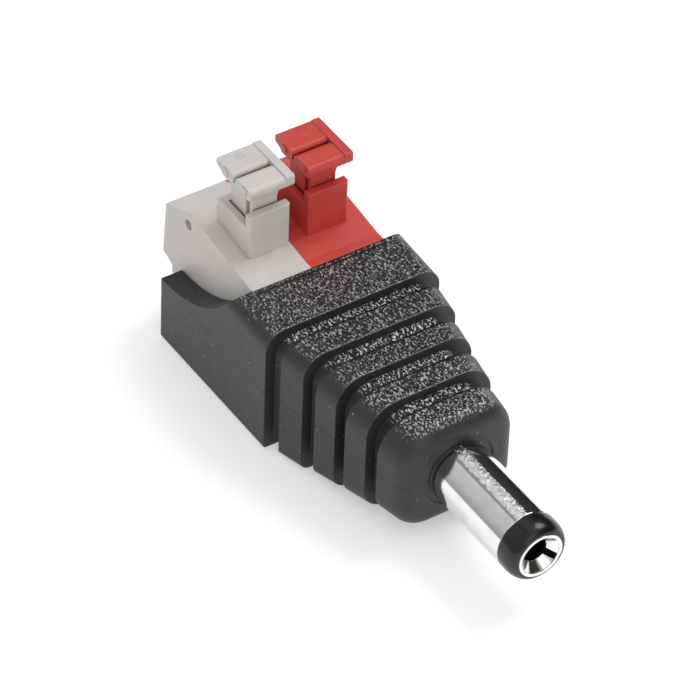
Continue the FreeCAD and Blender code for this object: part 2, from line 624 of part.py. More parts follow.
def terminal_body(label, side):
    body = new_body(label)
    block = new_sketch(body, label + "_block", "XZ_Plane")
    outline(block, MODULE_OUTLINE)
    extrude(body, "Pad", block, "module_width", reverse=True)
    tower = new_sketch(body, label + "_tower", "XY_Plane", "chamber_top")
    box_outline(tower, TOWER_REAR, TOWER_FRONT, "tower_offset", "tower_offset + tower_width")
    extrude(body, "Pad", tower, "tower_height - chamber_top")
    front = new_sketch(body, label + "_front_wall", "XY_Plane", "chamber_top")
    box_outline(front, TOWER_FRONT + " - front_wall", TOWER_FRONT,
                "tower_offset", "tower_offset + tower_width")
    extrude(body, "Pad", front, "tab_top_height - chamber_top")
    doc.recompute()
    square = body.Tip
    low = number("tower_offset")
    corner_edges = ["Edge%d" % (k + 1) for k, edge in enumerate(square.Shape.Edges)
                    if abs(edge.BoundBox.XLength) < 1e-6 and abs(edge.BoundBox.YLength) < 1e-6
                    and abs(edge.CenterOfMass.x - number(TOWER_FRONT)) < 1e-6
                    and low - 1e-6 < edge.CenterOfMass.y < low + number("tower_width") + 1e-6]
    rounding = body.newObject("PartDesign::Fillet", label + "_tower_edges")
    rounding.Base = (square, corner_edges)
    rounding.setExpression("Radius", link("tower_round"))

    chamber = new_sketch(body, label + "_chamber", "XZ_Plane", "-module_wall")
    outline(chamber, [
        (UPPER_CHAMBER_REAR, "chamber_top"),
        (UPPER_CHAMBER_REAR, UPPER_CHAMBER_FLOOR),
        (LOWER_CHAMBER_REAR, UPPER_CHAMBER_FLOOR),
        (LOWER_CHAMBER_REAR, CHAMBER_FLOOR),
        (CHAMBER_FRONT, CHAMBER_FLOOR),
        (CHAMBER_FRONT, "chamber_top"),
    ])
    extrude(body, "Pocket", chamber, "module_width")
    shaft = new_sketch(body, label + "_shaft", "XY_Plane", "chamber_top - module_wall")
    box_outline(shaft, TOWER_REAR + " + tower_rear_wall", TOWER_FRONT + " - front_wall",
                "tower_offset + tower_side_wall", "tower_offset + tower_width - tower_side_wall")
    extrude(body, "Pocket", shaft, "tower_height", reverse=True)

    entry = new_sketch(body, label + "_entry", "XZ_Plane", "-(strip_offset + strip_width / 2)")
    axis = sketch_axis(entry, "entry_height")
    outline(entry, [
        (REAR_EDGE + " - " + BEYOND, "entry_height"),
        (REAR_EDGE + " - " + BEYOND, "entry_height + entry_funnel_radius"),
        (REAR_EDGE + " + rear_lean / 2", "entry_height + entry_funnel_radius"),
        (REAR_EDGE + " + rear_lean / 2 + entry_funnel_depth", "entry_height + entry_radius"),
        (UPPER_CHAMBER_REAR + " + module_wall", "entry_height + entry_radius"),
        (UPPER_CHAMBER_REAR + " + module_wall", "entry_height"),
    ])
    revolve(body, "Groove", entry, axis)

    pin = new_sketch(body, label + "_pin_hole", "XY_Plane", "-module_depth - " + BEYOND)
    pin_box(pin, "part_gap")
    extrude(body, "Pocket", pin, "module_floor + 2 * " + BEYOND, reverse=True)
    peg_hole(body, label)
    peg = new_sketch(body, label + "_peg", "XZ_Plane", "-module_width + module_wall / 2")
    round_outline(peg, behind_front("peg_setback"), "peg_height", "peg_radius")
    extrude(body, "Pad", peg, "peg_length + module_wall / 2", reverse=True)
    place_across(body, side)


def sketch_axis(sketch, height):
    """A construction line along the plug that a profile turns about."""
    line = Part.LineSegment(FreeCAD.Vector(-1, number(height), 0), FreeCAD.Vector(1, number(height), 0))
    geometry = sketch.addGeometry(line, True)
    pin_point(sketch, geometry, 1, "-1", height)
    pin_point(sketch, geometry, 2, "1", height)
    return "Axis0"


def peg_hole(body, label):
    hole = new_sketch(body, label + "_peg_hole", "XZ_Plane", BEYOND)
    round_outline(hole, behind_front("peg_setback"), "peg_height", "peg_radius + peg_gap")
    extrude(body, "Pocket", hole, "peg_length + peg_gap + " + BEYOND)


def pin_box(sketch, gap):
    """The square of the contact's pin, grown by a gap."""
    half = "pin_size / 2 + " + gap
    x = behind_front("pin_setback")
    box_outline(sketch, "%s - (%s)" % (x, half), "%s + (%s)" % (x, half),
                "pin_offset - (%s)" % half, "pin_offset + (%s)" % half)


def end_plate():
    body = new_body("end_plate")
    block = new_sketch(body, "end_plate_outline", "XZ_Plane")
    outline(block, MODULE_OUTLINE)
    extrude(body, "Pad", block, "end_plate_thickness", reverse=True)
    peg_hole(body, "end_plate")
    place_across(body, POSITIVE_SIDE + " + module_width")


def push_button(label, side):
    """A stepped head on a stem, with a hook that keeps the button in its tower."""
    body = new_body(label)
    head_front = STEM_FRONT + " + head_overhang"
    head_rear = head_front + " - head_length"
    rear_pad_top = "head_top - rim_rise"
    pad_front = head_rear + " + rear_pad_length"
    front_pad_top = rear_pad_top + " - front_pad_drop"
    underside = rear_pad_top + " - pad_thickness"
    notch_floor = rear_pad_top + " - notch_depth"
    pads = new_sketch(body, label + "_pads", "XZ_Plane", "-head_offset")
    outline(pads, [
        (head_rear, rear_pad_top + " - rear_edge_thickness"),
        (head_rear + " + rear_slope_length", underside),
        (head_front + " - pad_round", underside, "+pad_round"),
        (head_front, underside + " + pad_round"),
        (head_front, front_pad_top + " - pad_round", "+pad_round"),
        (head_front + " - pad_round", front_pad_top),
        (pad_front + " + notch_width + 2 * notch_bevel", front_pad_top),
        (pad_front + " + notch_width", front_pad_top + " - notch_bevel"),
        (pad_front + " + notch_width", notch_floor),
        (pad_front, notch_floor),
        (pad_front, rear_pad_top + " - pad_round", "+pad_round"),
        (pad_front + " - pad_round", rear_pad_top),
        (head_rear, rear_pad_top),
    ])
    extrude(body, "Pad", pads, "head_width", reverse=True)
    rim = new_sketch(body, label + "_rim", "XZ_Plane", "-(head_offset + head_width - rim_width)")
    outline(rim, [
        (head_rear, rear_pad_top + " - rear_edge_thickness"),
        (head_rear + " + rear_slope_length", "head_top - rim_thickness"),
        (head_front + " - pad_round", "head_top - rim_thickness", "+pad_round"),
        (head_front, "head_top - rim_thickness + pad_round"),
        (head_front, "head_top - pad_round / 2", "+(pad_round / 2)"),
        (head_front + " - pad_round / 2", "head_top"),
        (head_rear, "head_top"),
    ])
    extrude(body, "Pad", rim, "rim_width", reverse=True)
    bosses = new_sketch(body, label + "_bosses", "XZ_Plane", "-(head_offset - boss_height)")
    boss_level = underside + " + pad_thickness / 2"
    round_outline(bosses, pad_front + " - 3 * boss_radius", boss_level, "boss_radius")
    round_outline(bosses, head_front + " - 2.5 * boss_radius", boss_level, "boss_radius")
    extrude(body, "Pad", bosses, "2 * boss_height", reverse=True)
    stem = new_sketch(body, label + "_stem", "YZ_Plane", STEM_REAR)
    neck = underside + " + stem_root"
    outline(stem, [
        (STEM_LOW, "stem_bottom"),
        (STEM_HIGH, "stem_bottom"),
        (STEM_HIGH, neck + " - flare_height"),
        (STEM_HIGH + " + stem_flare", neck),
        (STEM_LOW + " - stem_flare", neck),
        (STEM_LOW, neck + " - flare_height"),
    ])
    extrude(body, "Pad", stem, "(%s) - (%s)" % (STEM_FRONT, STEM_REAR))
    groove = new_sketch(body, label + "_groove", "XY_Plane", "tower_height - button_travel")
    box_outline(groove, STEM_FRONT + " - stem_groove_setback - stem_groove_width",
                STEM_FRONT + " - stem_groove_setback",
                STEM_LOW + " - " + BEYOND, STEM_LOW + " + stem_groove_depth")
    extrude(body, "Pocket", groove, neck + " - flare_height / 2 - tower_height + button_travel",
            reverse=True)
    hook = new_sketch(body, label + "_hook", "XY_Plane", "chamber_top - hook_gap - hook_thickness")
    box_outline(hook, STEM_FRONT + " - hook_reach", STEM_FRONT + " + hook_reach", STEM_LOW, STEM_HIGH)
    extrude(body, "Pad", hook, "hook_thickness")
    place_across(body, side)


def clamp_contact(label, side):
    """Bent strip: a bar on the chamber's floor, an upright with a window for the wire, a pin."""
    body = new_body(label)
    floor = CHAMBER_FLOOR + " + part_gap"
    bar_front = behind_front("contact_setback")
    bar_rear = bar_front + " - contact_length"
    strip = new_sketch(body, label + "_strip", "XZ_Plane", "-strip_offset")
    outline(strip, [
        (bar_rear, floor),
        (bar_front, floor),
        (bar_front, floor + " + strip_thickness"),
        (bar_rear + " + strip_thickness", floor + " + strip_thickness"),
        (bar_rear + " + strip_thickness", "upright_top"),
        (bar_rear, "upright_top"),
    ])
    extrude(body, "Pad", strip, "strip_width", reverse=True)
    window = new_sketch(body, label + "_window", "YZ_Plane", bar_rear + " - " + BEYOND)
    box_outline(window, "strip_offset + (strip_width - window_width) / 2",
                "strip_offset + (strip_width + window_width) / 2", "window_low", "window_high")
    extrude(body, "Pocket", window, "strip_thickness + 2 * " + BEYOND, reverse=True)
    pin = new_sketch(body, label + "_pin", "XY_Plane", "-pin_depth")
    pin_box(pin, "0")
    extrude(body, "Pad", pin, "pin_depth - module_depth + module_floor + strip_thickness")
    place_across(body, side)


def clamp_spring(label, side):
    """Leaf spring: a leg on the contact's bar, a bend at the front and a leg under the stem."""
    body = new_body(label)
    base = CHAMBER_FLOOR + " + 2 * part_gap + strip_thickness"
    tip = behind_front("contact_setback + contact_length") + " + strip_thickness + spring_gap"
    bend = behind_front("contact_setback") + " - spring_bend"
    upper = base + " + 2 * spring_bend"
    leaf = new_sketch(body, label + "_leaf", "XZ_Plane",
                      "-(strip_offset + (strip_width - spring_width) / 2)")
    outline(leaf, [
        (tip, base),
        (bend, base, "+spring_bend"),
        (bend + " + spring_bend", base + " + spring_bend", "+spring_bend"),
        (bend, upper),
        (tip, "spring_tip_height"),
        (tip, "spring_tip_height - spring_thickness"),
        (bend, upper + " - spring_thickness", "-(spring_bend - spring_thickness)"),
        (bend + " + spring_bend - spring_thickness", base + " + spring_bend",
         "-(spring_bend - spring_thickness)"),
        (bend, base + " + spring_thickness"),
        (tip, base + " + spring_thickness"),
    ])
    extrude(body, "Pad", leaf, "spring_width", reverse=True)
    place_across(body, side)


# Links between the terminals and the barrel

def bent_link(label, side):
    """A bare wire that leaves the pin, rises to the axis and ends beside the lug's tab."""
    y = number(side) + number("pin_offset")
    low = -number("link_level")
    start = number(behind_front("pin_setback")) + number("pin_size") / 2
    tab_end = number(CENTRE_LUG_REAR) - number("tab_reach")
    corners = [
        FreeCAD.Vector(start, y, low),
        FreeCAD.Vector(start + number("link_rise_start"), y, low),
        FreeCAD.Vector(tab_end - number("link_rise_end"), y, 0),
        FreeCAD.Vector(tab_end + number("tab_reach") / 2, y, 0),
    ]
    radius = number("link_bend")
    edges = []
    begin = corners[0]
    for before, corner, after in zip(corners, corners[1:], corners[2:]):
        inward = (corner - before).normalize()
        outward = (after - corner).normalize()
        half_turn = math.acos(max(-1.0, min(1.0, inward.dot(outward)))) / 2
        setback = radius * math.tan(half_turn)
        leave, join = corner - inward * setback, corner + outward * setback
        middle = corner + (outward - inward).normalize() * (radius / math.cos(half_turn) - radius)
        edges.append(Part.LineSegment(begin, leave).toShape())
        edges.append(Part.Arc(leave, middle, join).toShape())
        begin = join
    edges.append(Part.LineSegment(begin, corners[-1]).toShape())
    disc = Part.Wire([Part.Circle(corners[0], FreeCAD.Vector(1, 0, 0), number("link_radius")).toShape()])
    feature = doc.addObject("Part::Feature", label)
    feature.Label = label
    feature.Shape = Part.Wire(edges).makePipeShell([disc], True, False)
    PARTS.append(feature)
    return feature


def solder(label, joints):
    """Solder at the wire's two ends, shaped by the metal that it holds."""
    blobs = []
    for name, place, metal in joints:
        ball = doc.addObject("Part::Sphere", label + name + "_ball")
        ball.setExpression("Radius", link("solder_radius"))
        ball.Placement = FreeCAD.Placement(FreeCAD.Vector(), FreeCAD.Rotation(FreeCAD.Vector(0, 0, 1), 135))
        for axis, text in zip("xyz", place):
            ball.setExpression("Placement.Base." + axis, link(text))
        rest = ball
        for k, piece in enumerate(metal):
            cut = doc.addObject("Part::Cut", "%s%s_cut%d" % (label, name, k))
            cut.Base = rest
            cut.Tool = piece
            rest = cut
        blobs.append(rest)
    joint = doc.addObject("Part::Compound", label)
    joint.Label = label
    joint.Links = blobs
    PARTS.append(joint)


# The whole plug

lower_shell()
upper_shell()
barrel_sleeve()
nose_insulator()
centre_contact()
rear_washer()
SLEEVE_LUG_REAR = "-lug_ring_front - lug_thickness"
NEGATIVE_LINK = NEGATIVE_SIDE + " + pin_offset"
POSITIVE_LINK = POSITIVE_SIDE + " + pin_offset"
sleeve_lug = solder_lug("sleeve_lug", SLEEVE_LUG_REAR, "neck_radius + part_gap", "neck_radius + lug_rim",
                        NEGATIVE_LINK + " + link_radius", NEGATIVE_LINK + " + link_radius + lug_thickness")
centre_lug = solder_lug("centre_lug", CENTRE_LUG_REAR, "tail_radius + part_gap", "centre_lug_radius",
                        POSITIVE_LINK + " - link_radius - lug_thickness", POSITIVE_LINK + " - link_radius")
for sign, side_text, lug in (("negative", NEGATIVE_SIDE, sleeve_lug),
                             ("positive", POSITIVE_SIDE, centre_lug)):
    terminal_body(sign + "_terminal_body", side_text)
    push_button(sign + "_button", side_text)
    clamp_contact(sign + "_contact", side_text)
    clamp_spring(sign + "_clamp_spring", side_text)
    wire = bent_link(sign + "_link", side_text)
    line = side_text + " + pin_offset"
    solder(sign + "_solder", [
        ("_pin", (behind_front("pin_setback") + " + 0.75 * pin_size", line,
                  "-module_depth - solder_radius - part_gap"),
         (doc.getObject(sign + "_contact"), wire)),
        ("_tab", (CENTRE_LUG_REAR + " - tab_reach / 2", line, "0"), (lug, wire)),
    ])
end_plate()

doc.recompute()

for item in doc.Objects:
    if "Invalid" in item.State or "Error" in item.State:
        raise RuntimeError("%s failed: %s" % (item.Name, item.State))
for item in PARTS:
    shape = item.Shape
    if shape.isNull() or not shape.isValid() or not shape.Solids:
        raise RuntimeError("%s has no valid solid" % item.Label)

os.makedirs("parts", exist_ok=True)
for item in PARTS:
    item.Shape.exportStep("parts/%s.step" % item.Label)
    print("%-24s %2d solids %9.3f mm3" % (item.Label, len(item.Shape.Solids), item.Shape.Volume))
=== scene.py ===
import math

import bmesh
import bpy
from mathutils import Matrix, Vector


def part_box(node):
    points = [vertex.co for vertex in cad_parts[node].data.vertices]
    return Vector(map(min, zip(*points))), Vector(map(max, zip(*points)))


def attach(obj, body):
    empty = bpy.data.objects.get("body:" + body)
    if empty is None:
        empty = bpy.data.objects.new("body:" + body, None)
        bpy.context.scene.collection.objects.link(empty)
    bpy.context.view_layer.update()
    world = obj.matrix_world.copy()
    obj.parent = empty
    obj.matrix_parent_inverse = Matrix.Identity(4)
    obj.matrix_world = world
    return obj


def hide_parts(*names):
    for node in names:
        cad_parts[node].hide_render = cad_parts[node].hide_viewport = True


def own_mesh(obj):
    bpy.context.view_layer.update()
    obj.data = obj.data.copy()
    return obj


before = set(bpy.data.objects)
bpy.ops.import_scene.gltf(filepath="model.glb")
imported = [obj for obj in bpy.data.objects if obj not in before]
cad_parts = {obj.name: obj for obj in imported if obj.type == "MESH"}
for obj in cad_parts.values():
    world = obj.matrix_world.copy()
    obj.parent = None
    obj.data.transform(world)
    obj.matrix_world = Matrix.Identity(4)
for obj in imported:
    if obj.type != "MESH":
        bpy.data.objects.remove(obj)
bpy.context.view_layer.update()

MM = 0.001
X, Z = 0, 2
LOW, HIGH = 0, 1
TERMINALS = ("negative", "positive")


def new_object(name, data):
    item = bpy.data.objects.new(name, data)
    bpy.context.scene.collection.objects.link(item)
    return item


# Colours are written as they look on screen, from 0 to 255

def colour(red, green, blue):
    parts = []
    for value in (red, green, blue):
        value /= 255
        parts.append(value / 12.92 if value <= 0.04045 else ((value + 0.055) / 1.055) ** 2.4)
    return (*parts, 1.0)


def shade(tone, factor):
    return tuple(factor * part for part in tone[:3]) + (1.0,)


# Node trees of the materials, the floor, the card and the world

MIX_FACTOR, MIX_FIRST_COLOUR, MIX_SECOND_COLOUR = 0, 6, 7
MIX_COLOUR_RESULT = 2
BEVEL_SAMPLES = 6
OCCLUSION_SAMPLES = 4
BENT_COSINE, FLAT_COSINE = 0.86, 0.995
CORNER_REACH = 0.6
CORNER_LIGHT, EDGE_LIGHT = 0.55, 0.8
GAP_LIGHT, OPEN_LIGHT = 0.1, 0.5


class Nodes:
    """The shader nodes of a material or a world, empty at first."""

    def __init__(self, owner):
        owner.use_nodes = True
        self.tree = owner.node_tree
        self.tree.nodes.clear()

    def add(self, kind, **settings):
        node = self.tree.nodes.new(kind)
        for name, value in settings.items():
            setattr(node, name, value)
        return node

    def join(self, output, target):
        self.tree.links.new(output, target)

    def feed(self, socket, value):
        """Sets a socket to a plain value, or links it."""
        if isinstance(value, (int, float, tuple)):
            socket.default_value = value
        else:
            self.join(value, socket)

    def maths(self, operation, *values):
        node = self.add("ShaderNodeMath", operation=operation)
        for socket, value in zip(node.inputs, values):
            self.feed(socket, value)
        return node.outputs["Value"]

    def product(self, first, *others):
        for other in others:
            first = self.maths("MULTIPLY", first, other)
        return first

    def largest(self, first, *others):
        for other in others:
            first = self.maths("MAXIMUM", first, other)
        return first

    def seen_directly(self):
        """1 for rays from the camera, off metal and through glass."""
        rays = self.add("ShaderNodeLightPath").outputs
        return self.largest(rays["Is Camera Ray"], rays["Is Glossy Ray"], rays["Is Transmission Ray"])


class Material(Nodes):
    """A surface painted with noise in the object's own coordinates, counted in millimetres."""

    def __init__(self, name, metallic=0.0, specular=0.5, coat=0.0, coat_roughness=0.1):
        self.material = bpy.data.materials.new(name)
        super().__init__(self.material)
        self.shader = self.add("ShaderNodeBsdfPrincipled")
        output = self.add("ShaderNodeOutputMaterial")
        self.join(self.shader.outputs["BSDF"], output.inputs["Surface"])
        for socket, value in (("Metallic", metallic), ("Specular IOR Level", specular),
                              ("Coat Weight", coat), ("Coat Roughness", coat_roughness)):
            self.shader.inputs[socket].default_value = value
        self.coordinates = self.add("ShaderNodeTexCoord")
        self.in_mm = self.add("ShaderNodeMapping")
        self.in_mm.inputs["Scale"].default_value = (1 / MM, 1 / MM, 1 / MM)
        self.join(self.coordinates.outputs["Object"], self.in_mm.inputs["Vector"])

    def noise(self, scale, detail=3.0, roughness=0.5, stretch=None):
        """Soft noise. A stretch is a factor on the scale for each axis."""
        node = self.add("ShaderNodeTexNoise")
        node.inputs["Scale"].default_value = scale
        node.inputs["Detail"].default_value = detail
        node.inputs["Roughness"].default_value = roughness
        source = self.in_mm
        if stretch:
            source = self.add("ShaderNodeMapping")
            source.inputs["Scale"].default_value = stretch
            self.join(self.in_mm.outputs["Vector"], source.inputs["Vector"])
        self.join(source.outputs["Vector"], node.inputs["Vector"])
        return node.outputs["Fac"]

    def cells(self, scale):
        """Distance to the nearest of scattered points."""
        node = self.add("ShaderNodeTexVoronoi")
        node.inputs["Scale"].default_value = scale
        self.join(self.in_mm.outputs["Vector"], node.inputs["Vector"])
        return node.outputs["Distance"]

    def ramp(self, factor, stops, smooth=False):
        """Turns a factor into a value or a colour, by stops of (factor, value)."""
        node = self.add("ShaderNodeValToRGB")
        node.color_ramp.interpolation = "EASE" if smooth else "LINEAR"
        while len(node.color_ramp.elements) < len(stops):
            node.color_ramp.elements.new(0.5)
        for element, (place, value) in zip(node.color_ramp.elements, stops):
            element.position = place
            element.color = value if isinstance(value, tuple) else (value, value, value, 1.0)
        self.join(factor, node.inputs["Fac"])
        return node.outputs["Color"]

    def inverse(self, value):
        return self.maths("SUBTRACT", 1.0, value)

    def blend(self, factor, first, second):
        node = self.add("ShaderNodeMix", data_type="RGBA")
        self.feed(node.inputs[MIX_FACTOR], factor)
        self.feed(node.inputs[MIX_FIRST_COLOUR], first)
        self.feed(node.inputs[MIX_SECOND_COLOUR], second)
        return node.outputs[MIX_COLOUR_RESULT]

    def layer(self, tone, mask, over, share=1.0):
        """Lays a second tone over the first one where the mask is 1. The share is how much of it shows."""
        return self.blend(mask if share == 1.0 else self.product(mask, share), tone, over)

    def step(self, value, low, high):
        """0 up to the low value and 1 from the high one."""
        node = self.add("ShaderNodeMapRange", interpolation_type="SMOOTHSTEP")
        node.inputs["From Min"].default_value = low
        node.inputs["From Max"].default_value = high
        self.join(value, node.inputs["Value"])
        return node.outputs["Result"]

    def part_of(self, vector, axis):
        split = self.add("ShaderNodeSeparateXYZ")
        self.join(vector, split.inputs["Vector"])
        return split.outputs[axis]

    def facing(self, axis, low, high):
        """1 where the surface faces the axis, 0 where it doesn't."""
        return self.step(self.part_of(self.coordinates.outputs["Normal"], axis), low, high)

    def place(self, axis):
        return self.part_of(self.in_mm.outputs["Vector"], axis)

    def lines_at(self, axis, places, half_width):
        """1 on thin lines across the axis."""
        lines = []
        for place in places:
            away = self.maths("ABSOLUTE", self.maths("SUBTRACT", self.place(axis), place))
            lines.append(self.inverse(self.step(away, half_width, 2 * half_width)))
        return self.largest(*lines)

    def away_from(self, x, y):
        """Distance in plan from a point, in millimetres."""
        flat = self.add("ShaderNodeVectorMath", operation="MULTIPLY")
        flat.inputs[1].default_value = (1, 1, 0)
        self.join(self.in_mm.outputs["Vector"], flat.inputs[0])
        gap = self.add("ShaderNodeVectorMath", operation="DISTANCE")
        gap.inputs[1].default_value = (x, y, 0)
        self.join(flat.outputs["Vector"], gap.inputs[0])
        return gap.outputs["Value"]

    def softened_normal(self, radius):
        rounded = self.add("ShaderNodeBevel", samples=BEVEL_SAMPLES)
        rounded.inputs["Radius"].default_value = radius * MM
        return rounded.outputs["Normal"]

    def openness(self, reach, low, high):
        """1 where other surfaces leave the view free within reach, 0 where they close it."""
        around = self.add("ShaderNodeAmbientOcclusion", samples=OCCLUSION_SAMPLES)
        around.inputs["Distance"].default_value = reach * MM
        return self.step(around.outputs["AO"], low, high)

    def outer_edges(self, radius):
        """1 along edges that stand out, where highlights are painted, 0 on faces and in corners."""
        turn = self.add("ShaderNodeVectorMath", operation="DOT_PRODUCT")
        self.join(self.softened_normal(radius), turn.inputs[0])
        self.join(self.add("ShaderNodeNewGeometry").outputs["Normal"], turn.inputs[1])
        bent = self.inverse(self.step(turn.outputs["Value"], BENT_COSINE, FLAT_COSINE))
        return self.product(bent, self.openness(CORNER_REACH, CORNER_LIGHT, EDGE_LIGHT))

    def shaded_hollows(self, reach):
        """1 in narrow gaps, where shade is painted, 0 in the open."""
        return self.inverse(self.openness(reach, GAP_LIGHT, OPEN_LIGHT))

    def use_colour(self, value):
        self.join(value, self.shader.inputs["Base Color"])

    def use_roughness(self, value):
        self.join(value, self.shader.inputs["Roughness"])

    def use_bumps(self, bumps, edge):
        """Height maps as (height, depth in millimetres, strength) over softly rounded edges."""
        normal = self.softened_normal(edge)
        for height, depth, strength in bumps:
            bump = self.add("ShaderNodeBump")
            bump.inputs["Strength"].default_value = strength
            bump.inputs["Distance"].default_value = depth * MM
            self.join(height, bump.inputs["Height"])
            self.join(normal, bump.inputs["Normal"])
            normal = bump.outputs["Normal"]
        self.join(normal, self.shader.inputs["Normal"])


# The black housing. Places are in millimetres. A groove runs from one rib's rear to the next one's front.

LIP_REAR = -20.8
LIP_REAR_FADE = 0.05
LIP_STEP = -20.3
LIP_HALF_WIDTH = 6.15
LIP_SIDE_FADE = 0.1
RIB_REARS = (-3.1, -6.7, -10.25, -14.15)
RIB_FRONTS = (-4.57, -8.17, -11.72, -15.62)
STRIP_FROM_FRONT = 0.45
STRIP_HALF = 0.3
LIP_LINE_HALF = 0.10
RIB_LINE_HALF = 0.09
FINE_LINE_HALF = 0.035
PARTING_Z = 0.0
PARTING_SHARE = 0.8
DULL_GLINTS_TO, BRIGHT_GLINTS_FROM = -12.0, -1.0

BLACK_DARK, BLACK_LIGHT = colour(38, 38, 39), colour(50, 50, 51)
PIT_TONE = colour(24, 24, 25)
# Tones of the painted glints, a painted highlight
GLINT_DULL, GLINT_BRIGHT = colour(172, 172, 172), colour(205, 205, 205)
GLINT_IN_GROOVE = colour(245, 245, 245)
# Painted highlight along the outer edges
EDGE_HIGHLIGHT = colour(112, 112, 112)
# Painted highlight along each rib's front
RIB_FRONT_HIGHLIGHT = colour(125, 125, 125)
# The dark parting seam, and the painted shadow at the ribs' rears and the lip step
SEAM_AND_SHADOW_TONE = colour(4, 4, 4)
DUST_TONE = colour(205, 205, 205)


def painted_glints(m, tone, level):
    """Painted highlights: glints on the level faces, brighter towards the barrel and brightest on the lit
    groove floors.
    """
    glints = m.ramp(m.noise(5.0, detail=1.5, stretch=(0.75, 1.35, 1.0)), [(0.54, 0.0), (0.64, 1.0)])
    forward = m.step(m.place("X"), DULL_GLINTS_TO, BRIGHT_GLINTS_FROM)
    # Painted light on the groove floors
    lit_groove_floors = m.lines_at("X", [front + STRIP_FROM_FRONT for front in RIB_FRONTS], STRIP_HALF)
    glint_tone = m.layer(m.blend(forward, GLINT_DULL, GLINT_BRIGHT), lit_groove_floors, GLINT_IN_GROOVE)
    return m.layer(tone, m.product(level, glints), glint_tone, share=0.95)


def housing_lines(m, tone, level):
    """A painted highlight along each rib's front, painted shadow lines at the ribs' rears and at the lip
    step, and a dark seam at the parting.
    """
    # Painted highlight along each rib's front
    pale = m.product(m.lines_at("X", RIB_FRONTS, FINE_LINE_HALF), level)
    from_middle = m.maths("ABSOLUTE", m.place("Y"))
    within_lip = m.inverse(m.step(from_middle, LIP_HALF_WIDTH, LIP_HALF_WIDTH + LIP_SIDE_FADE))
    # Painted shadow lines at the lip step and behind each rib
    lip_step_shadow = m.product(m.lines_at("X", [LIP_STEP], LIP_LINE_HALF), within_lip)
    shadow_lines = m.product(m.largest(lip_step_shadow, m.lines_at("X", RIB_REARS, RIB_LINE_HALF)), level)
    parting = m.product(m.lines_at("Z", [PARTING_Z], FINE_LINE_HALF), PARTING_SHARE)
    return m.layer(m.layer(tone, pale, RIB_FRONT_HIGHLIGHT, share=0.6), m.largest(parting, shadow_lines), SEAM_AND_SHADOW_TONE)


def housing_material():
    """Black moulding: pebbled and with painted glints on its level faces, smooth on its sides."""
    m = Material("black_housing")
    before_lip_rear = m.step(m.place("X"), LIP_REAR - LIP_REAR_FADE, LIP_REAR)
    level = m.product(m.facing("Z", low=0.70, high=0.97), before_lip_rear)
    pebbles = m.ramp(m.noise(3.7, detail=2.0, roughness=0.55), [(0.40, 0.0), (0.60, 1.0)], smooth=True)
    clouds = m.noise(0.45, roughness=0.55)
    tone = m.blend(clouds, BLACK_DARK, BLACK_LIGHT)
    tone = m.layer(tone, m.product(level, m.inverse(pebbles)), PIT_TONE)
    tone = painted_glints(m, tone, level)
    # Painted highlight along the outer edges
    tone = m.layer(tone, m.outer_edges(radius=0.10), EDGE_HIGHLIGHT, share=0.45)
    tone = housing_lines(m, tone, level)
    dust = m.ramp(m.cells(0.8), [(0.035, 1.0), (0.055, 0.0)])
    m.use_colour(m.layer(tone, dust, DUST_TONE, share=0.7))
    side_roughness = m.ramp(m.noise(1.6, stretch=(0.5, 1.8, 1.4)), [(0.3, 0.43), (0.7, 0.52)])
    level_roughness = m.ramp(m.noise(9.0, detail=2.0), [(0.3, 0.20), (0.7, 0.32)])
    m.use_roughness(m.blend(level, side_roughness, level_roughness))
    m.use_bumps([(m.product(pebbles, level), 0.045, 1.0), (m.noise(12.0, detail=2.0), 0.006, 0.5),
                 (clouds, 0.10, 0.25)], edge=0.12)
    return m.material


# The grey, red and cream mouldings. On top of each button is an ejector's mark.

MARK_X = -28.25
MARK_ASIDE = 3.03


def ringed_mark(m):
    """A dot within a ring."""
    away = m.away_from(MARK_X, -MARK_ASIDE)
    mark = m.ramp(away, [(0.0, 0.0), (0.10, 1.0), (0.20, 0.0), (0.28, 0.0), (0.34, 1.0), (0.42, 0.0)])
    return mark, 0.05, 1.0


def rough_mark(m):
    """A rough round patch."""
    within = m.inverse(m.step(m.away_from(MARK_X, MARK_ASIDE), 0.25, 0.5))
    return m.product(within, m.noise(5.0, detail=2.0, roughness=0.6)), 0.08, 1.0


def terminal_material(name, light, dark, edge_highlight_tone, mark=None):
    """Satin moulding with faint flow clouds, painted shade in its gaps, painted highlights on its edges and
    a little dust.
    """
    m = Material(name, specular=0.42)
    tone = m.ramp(m.noise(0.55, roughness=0.55), [(0.3, dark), (0.7, light)])
    # Painted shade in narrow gaps
    tone = m.layer(tone, m.shaded_hollows(reach=0.7), shade(dark, 0.12), share=0.75)
    # Painted highlight along the outer edges
    tone = m.layer(tone, m.outer_edges(radius=0.09), edge_highlight_tone, share=0.8)
    dust = m.ramp(m.noise(7.5, detail=1.0), [(0.755, 0.0), (0.80, 1.0)])
    m.use_colour(m.layer(tone, dust, shade(dark, 0.45), share=0.35))
    m.use_roughness(m.ramp(m.noise(2.2, roughness=0.6), [(0.3, 0.36), (0.7, 0.5)]))
    bumps = [(m.noise(1.1, detail=2.0), 0.02, 0.35), (m.noise(13.0, detail=2.0, roughness=0.6), 0.010, 0.5)]
    if mark:
        bumps.append(mark(m))
    m.use_bumps(bumps, edge=0.10)
    return m.material


# Metals and the black ring at the tip

